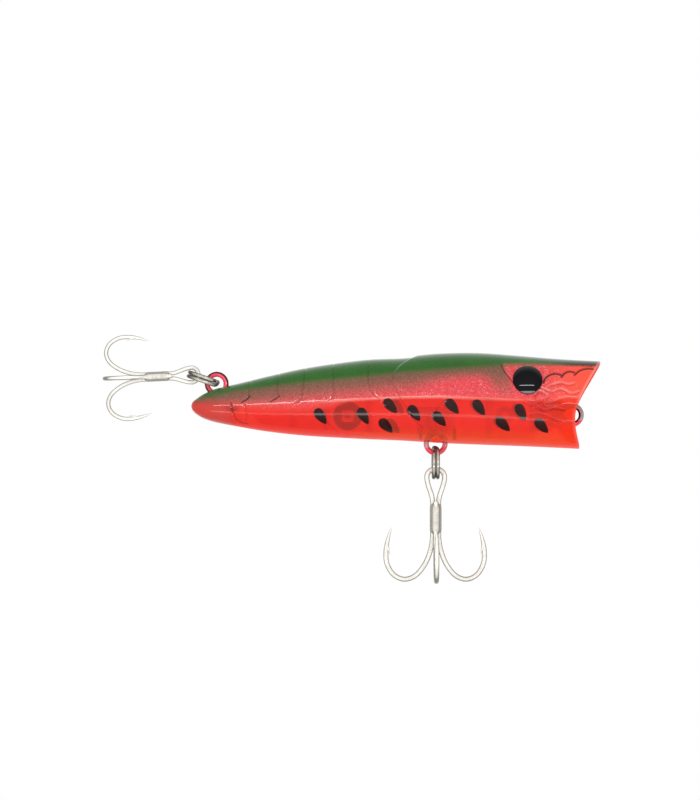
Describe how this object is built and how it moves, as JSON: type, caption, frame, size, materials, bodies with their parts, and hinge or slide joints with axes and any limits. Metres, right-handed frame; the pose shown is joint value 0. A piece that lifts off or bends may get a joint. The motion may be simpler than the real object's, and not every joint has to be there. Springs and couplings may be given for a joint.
{
  "type": "topwater popper fishing lure",
  "caption": "Translucent hollow popper with a cupped mouth, domed eyes, a wire line tie and wire hangers, and treble hooks on split rings at belly and tail.",
  "frame": {"origin": "centre of the line-tie wire eye, on the body's plane of symmetry", "axes": "+X towards the nose, +Z towards the back, +Y to the lure's left side; the plane Y = 0 divides the body halves"},
  "size_m": [0.079, 0.016, 0.0395],
  "materials": {
    "body_plastic": "clear ABS, sprayed green over sparkling red",
    "eye_disc": "black foil disc",
    "eye_dome": "glossy black epoxy dome",
    "painted_wire": "stainless wire with red overspray",
    "ball_steel": "steel ball",
    "ring_nickel": "bright nickel",
    "hook_tin": "bright tin plate",
    "braze": "silver solder"
  },
  "bodies": {
    "lure_body": {"left_shell": "body_plastic", "right_shell": "body_plastic", "left_eye_disc": "eye_disc", "right_eye_disc": "eye_disc", "left_eye_dome": "eye_dome", "right_eye_dome": "eye_dome", "line_tie_wire": "painted_wire", "belly_hanger_wire": "painted_wire", "tail_hanger_wire": "painted_wire"},
    "ballast": {"ballast_ball": "ball_steel"},
    "belly_ring": {"belly_split_ring": "ring_nickel"},
    "belly_treble": {"belly_hook_double": "hook_tin", "belly_hook_single": "hook_tin", "belly_hook_braze": "braze"},
    "tail_ring": {"tail_split_ring": "ring_nickel"},
    "tail_treble": {"tail_hook_double": "hook_tin", "tail_hook_single": "hook_tin", "tail_hook_braze": "braze"}
  },
  "joints": [
    {"name": "ballast_rattle", "type": "slide", "parent": "lure_body", "child": "ballast", "axis": [1, 0, 0], "range_m": [-0.0005, 0.0005]},
    {"name": "belly_ring_swing", "type": "hinge", "parent": "lure_body", "child": "belly_ring", "pos_m": [-0.02166, 0, -0.00606], "axis": [1, 0, 0], "range_deg": [-40, 40]},
    {"name": "belly_treble_swing", "type": "hinge", "parent": "belly_ring", "child": "belly_treble", "pos_m": [-0.02166, 0, -0.00998], "axis": [0, 1, 0], "range_deg": [-60, 60]},
    {"name": "tail_ring_swing", "type": "hinge", "parent": "lure_body", "child": "tail_ring", "pos_m": [-0.05795, 0, 0.00544], "axis": [0.3256, 0, 0.9455], "range_deg": [-30, 30]},
    {"name": "tail_treble_swing", "type": "hinge", "parent": "tail_ring", "child": "tail_treble", "pos_m": [-0.06057, 0, 0.00634], "axis": [0, 1, 0], "range_deg": [-65, 75]}
  ]
}
